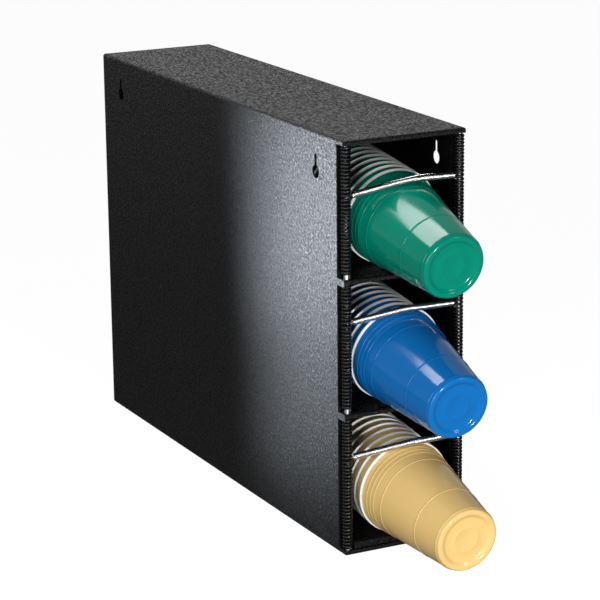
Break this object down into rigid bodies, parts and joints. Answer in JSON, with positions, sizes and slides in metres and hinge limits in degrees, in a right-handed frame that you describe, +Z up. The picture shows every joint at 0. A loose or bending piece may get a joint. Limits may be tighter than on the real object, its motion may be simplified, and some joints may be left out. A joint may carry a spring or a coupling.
{
  "type": "cup dispenser",
  "caption": "Countertop cup dispenser: a black sheet-metal case with three sloping bays, each holding a nested stack of cups behind a retaining spring.",
  "frame": {"origin": "centre of the case's base, on the surface that it stands on", "axes": "+X to the right, +Y to the back, away from the cups' bases, +Z up"},
  "size_m": [0.129, 0.6709, 0.396],
  "materials": {
    "case_coat": "fine-textured black powder coat, satin",
    "peg_zinc": "zinc plate",
    "spring_black": "black-coated spring wire, satin",
    "spring_bright": "bright drawn wire",
    "cup_green": "glossy green outside, white inside",
    "cup_blue": "glossy blue outside, white inside",
    "cup_yellow": "glossy pale yellow outside, white inside"
  },
  "bodies": {
    "case": {"case_wrap": "case_coat", "back_panel": "case_coat", "floor_shelf": "case_coat", "lower_rail": "case_coat", "upper_rail": "case_coat", "lower_shelf": "case_coat", "upper_shelf": "case_coat", "base_pegs": "peg_zinc", "lower_rail_pegs": "peg_zinc", "upper_rail_pegs": "peg_zinc", "top_pegs": "peg_zinc", "bottom_left_spring": "spring_black", "bottom_right_spring": "spring_black", "middle_left_spring": "spring_black", "middle_right_spring": "spring_black", "top_left_spring": "spring_black", "top_right_spring": "spring_black", "bottom_retaining_spring": "spring_bright", "middle_retaining_spring": "spring_bright", "top_retaining_spring": "spring_bright"},
    "bottom_stack": {"bottom_cup_stack": "cup_yellow"},
    "bottom_cup": {"bottom_front_cup": "cup_yellow"},
    "middle_stack": {"middle_cup_stack": "cup_blue"},
    "middle_cup": {"middle_front_cup": "cup_blue"},
    "top_stack": {"top_cup_stack": "cup_green"},
    "top_cup": {"top_front_cup": "cup_green"}
  },
  "joints": [
    {"name": "bottom_stack_feed", "type": "slide", "parent": "case", "child": "bottom_stack", "axis": [0, -0.9997, -0.026], "range_m": [0, 0.15], "deforming": ["bottom_retaining_spring"]},
    {"name": "bottom_cup_pull", "type": "slide", "parent": "bottom_stack", "child": "bottom_cup", "axis": [0, -0.9997, -0.026], "range_m": [0, 0.1307]},
    {"name": "middle_stack_feed", "type": "slide", "parent": "case", "child": "middle_stack", "axis": [0, -0.9969, -0.0785], "range_m": [0, 0.15], "deforming": ["middle_retaining_spring"]},
    {"name": "middle_cup_pull", "type": "slide", "parent": "middle_stack", "child": "middle_cup", "axis": [0, -0.9969, -0.0785], "range_m": [0, 0.1307]},
    {"name": "top_stack_feed", "type": "slide", "parent": "case", "child": "top_stack", "axis": [0, -0.9959, -0.0904], "range_m": [0, 0.15], "deforming": ["top_retaining_spring"]},
    {"name": "top_cup_pull", "type": "slide", "parent": "top_stack", "child": "top_cup", "axis": [0, -0.9959, -0.0904], "range_m": [0, 0.1307]}
  ]
}
